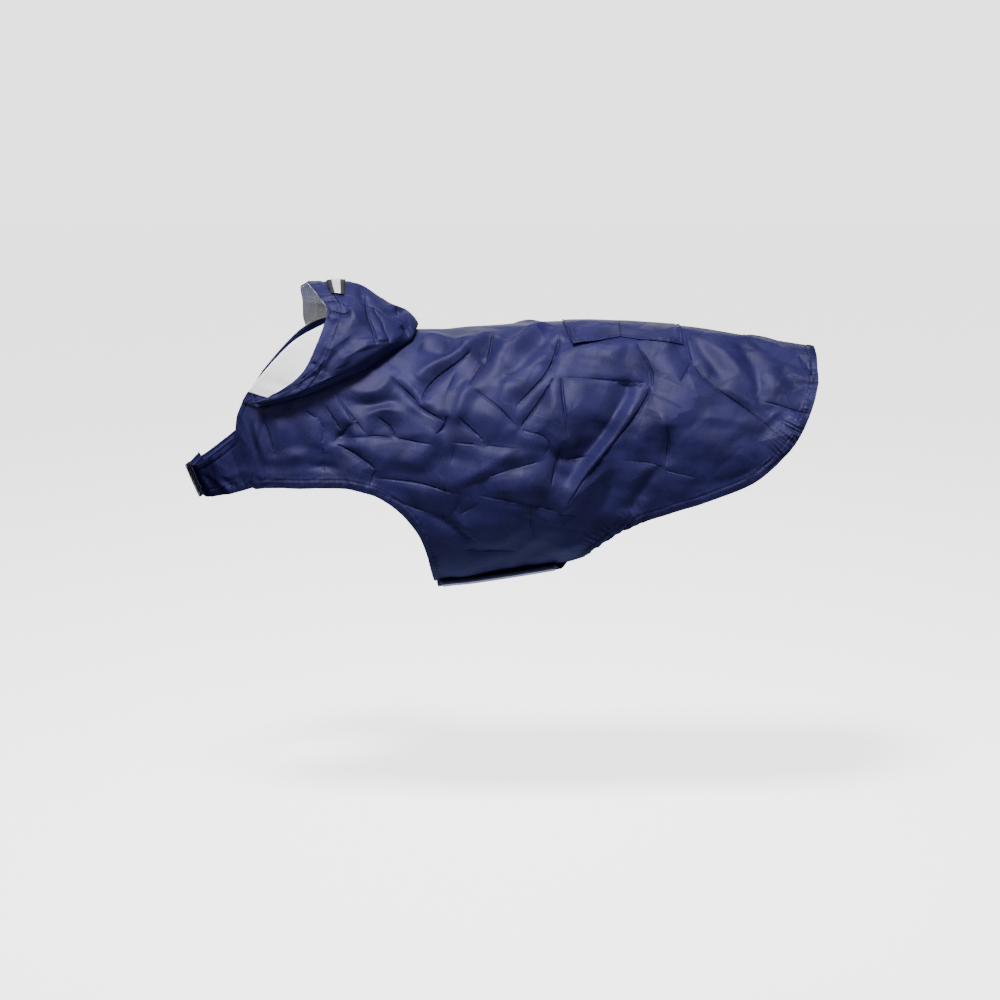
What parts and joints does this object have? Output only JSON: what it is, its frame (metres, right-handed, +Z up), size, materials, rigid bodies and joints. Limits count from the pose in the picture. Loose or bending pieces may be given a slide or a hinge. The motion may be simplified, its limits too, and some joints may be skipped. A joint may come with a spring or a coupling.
{
  "type": "dog raincoat",
  "caption": "Hooded dog raincoat in its worn hollow form, open at neck, front legs and hem, lapped under chest and belly, with hood thrown back and a pocket on the back.",
  "frame": {"origin": "on the spine of the wearer, just inside the back panel, behind the hood", "axes": "+Z up, -X towards the head, +X towards the tail, -Y is the wearer's left side, +Y the right side"},
  "size_m": [0.7377, 0.2335, 0.362],
  "materials": {
    "coat_body": "smooth water-repellent woven polyester, navy, low sheen",
    "chest_tab_left": "smooth water-repellent woven polyester, navy, low sheen",
    "chest_tab_right": "smooth water-repellent woven polyester, navy, low sheen",
    "hood_left": "smooth water-repellent woven polyester, navy, low sheen",
    "hood_centre": "smooth water-repellent woven polyester, navy, low sheen",
    "hood_right": "smooth water-repellent woven polyester, navy, low sheen",
    "hood_lining": "fine white polyester mesh, matt",
    "pocket_flap": "smooth water-repellent woven polyester, navy, low sheen",
    "pocket_patch": "smooth water-repellent woven polyester, navy, low sheen",
    "hood_tape_base": "black woven ribbon, matt",
    "hood_tape_silver": "silver retroreflective tape, satin",
    "chest_tape_base": "black woven ribbon, matt",
    "chest_tape_silver": "silver retroreflective tape, satin",
    "belly_tape_base": "black woven ribbon, matt",
    "belly_tape_silver": "silver retroreflective tape, satin"
  },
  "bodies": {
    "root": {"coat_body": "coat_body", "chest_tab_left": "chest_tab_left", "chest_tab_right": "chest_tab_right", "hood_left": "hood_left", "hood_centre": "hood_centre", "hood_right": "hood_right", "hood_lining": "hood_lining", "pocket_flap": "pocket_flap", "pocket_patch": "pocket_patch", "hood_tape_base": "hood_tape_base", "hood_tape_silver": "hood_tape_silver", "chest_tape_base": "chest_tape_base", "chest_tape_silver": "chest_tape_silver", "belly_tape_base": "belly_tape_base", "belly_tape_silver": "belly_tape_silver"}
  },
  "joints": []
}
